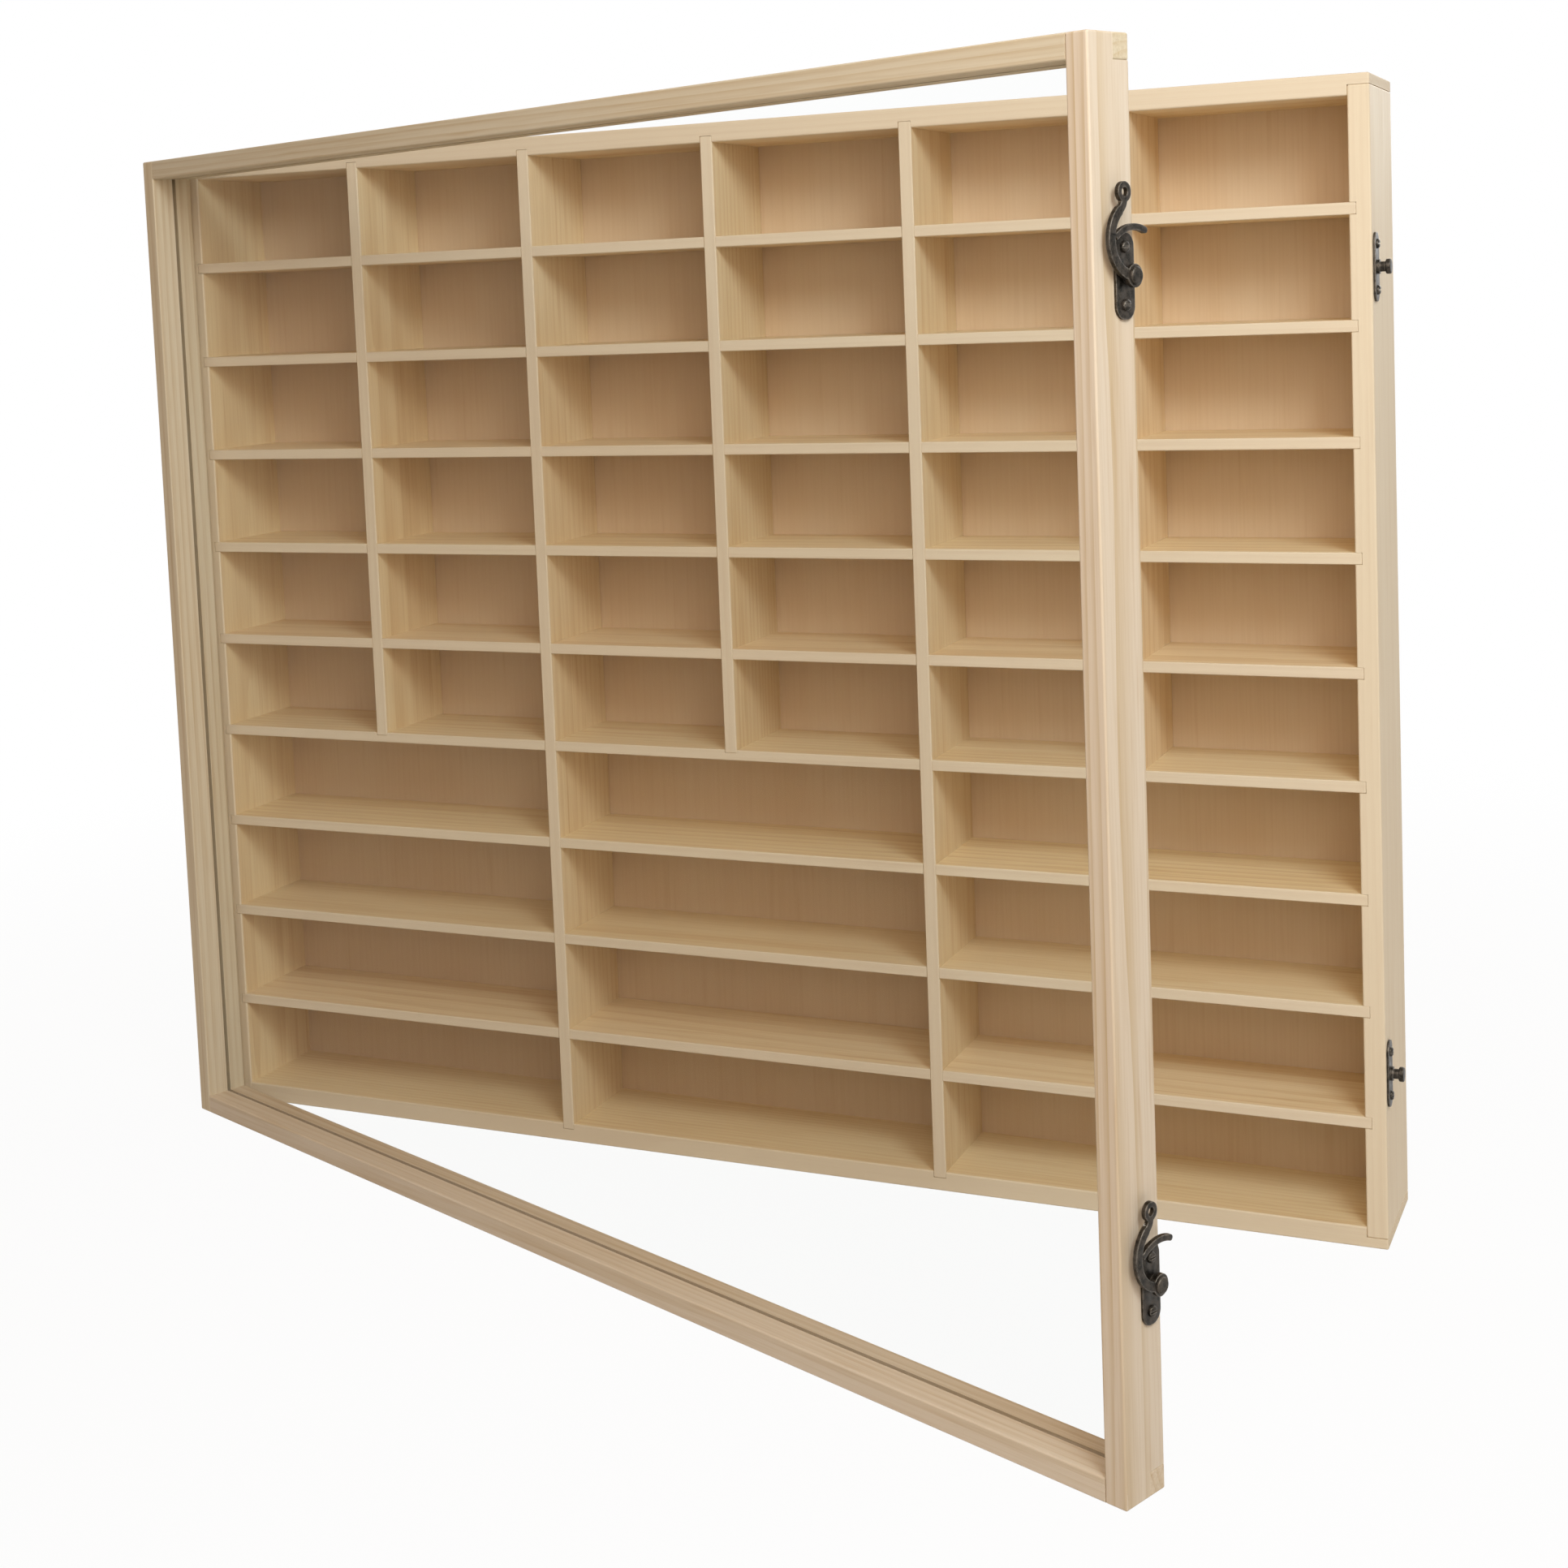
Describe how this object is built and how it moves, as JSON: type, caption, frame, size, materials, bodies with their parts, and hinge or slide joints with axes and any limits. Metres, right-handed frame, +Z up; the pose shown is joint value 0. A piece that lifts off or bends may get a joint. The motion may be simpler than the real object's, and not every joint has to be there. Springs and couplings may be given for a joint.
{
  "type": "toy car display case",
  "caption": "Shallow pine case of small compartments for toy cars, with a framed clear door hinged at the left and hook latches at the right.",
  "frame": {"origin": "centre of the case's underside, on the surface that it stands on", "axes": "+Z up, the compartments open towards -Y, +X to the right seen from the front; the door stands ajar in front of the case, hinged at -X"},
  "size_m": [0.6107, 0.2979, 0.495],
  "materials": {
    "pine": "sanded, unfinished",
    "plywood": "smooth, unfinished",
    "clear_panel": "clear gloss",
    "bronzed_metal": "antique bronze, rubbed lighter on the edges",
    "nail_steel": "bright"
  },
  "bodies": {
    "case": {"top_board": "pine", "bottom_board": "pine", "left_side": "pine", "right_side": "pine", "back_panel": "plywood", "back_panel_nails": "nail_steel", "shelf_1": "pine", "shelf_2": "pine", "shelf_3": "pine", "shelf_4": "pine", "shelf_5": "pine", "shelf_6": "pine", "shelf_7": "pine", "shelf_8": "pine", "shelf_9": "pine", "divider_1": "pine", "divider_2": "pine", "divider_3": "pine", "divider_4": "pine", "divider_5": "pine", "hinge_case_screws": "bronzed_metal", "keeper_screws": "bronzed_metal", "upper_hinge_case_leaf": "bronzed_metal", "upper_hinge_pin": "bronzed_metal", "upper_keeper_plate": "bronzed_metal", "upper_keeper_knob": "bronzed_metal", "lower_hinge_case_leaf": "bronzed_metal", "lower_hinge_pin": "bronzed_metal", "lower_keeper_plate": "bronzed_metal", "lower_keeper_knob": "bronzed_metal"},
    "door": {"door_hinge_stile": "pine", "door_latch_stile": "pine", "door_top_rail": "pine", "door_bottom_rail": "pine", "door_pane": "clear_panel", "hinge_door_screws": "bronzed_metal", "latch_screws": "bronzed_metal", "upper_hinge_door_leaf": "bronzed_metal", "upper_latch_plate": "bronzed_metal", "upper_latch_pivot": "bronzed_metal", "lower_hinge_door_leaf": "bronzed_metal", "lower_latch_plate": "bronzed_metal", "lower_latch_pivot": "bronzed_metal"},
    "upper_hook": {"upper_hook": "bronzed_metal"},
    "lower_hook": {"lower_hook": "bronzed_metal"}
  },
  "joints": [
    {"name": "door_hinge", "type": "hinge", "parent": "case", "child": "door", "pos_m": [-0.3003, -0.02875, 0.2475], "axis": [0, 0, -1], "range_deg": [-21.6, 148.4]},
    {"name": "upper_hook_pivot", "type": "hinge", "parent": "door", "child": "upper_hook", "pos_m": [0.25416, -0.2536, 0.416], "axis": [-0.9298, 0.3681, 0], "range_deg": [-150, 120]},
    {"name": "lower_hook_pivot", "type": "hinge", "parent": "door", "child": "lower_hook", "pos_m": [0.25416, -0.2536, 0.075], "axis": [-0.9298, 0.3681, 0], "range_deg": [-150, 120]}
  ]
}
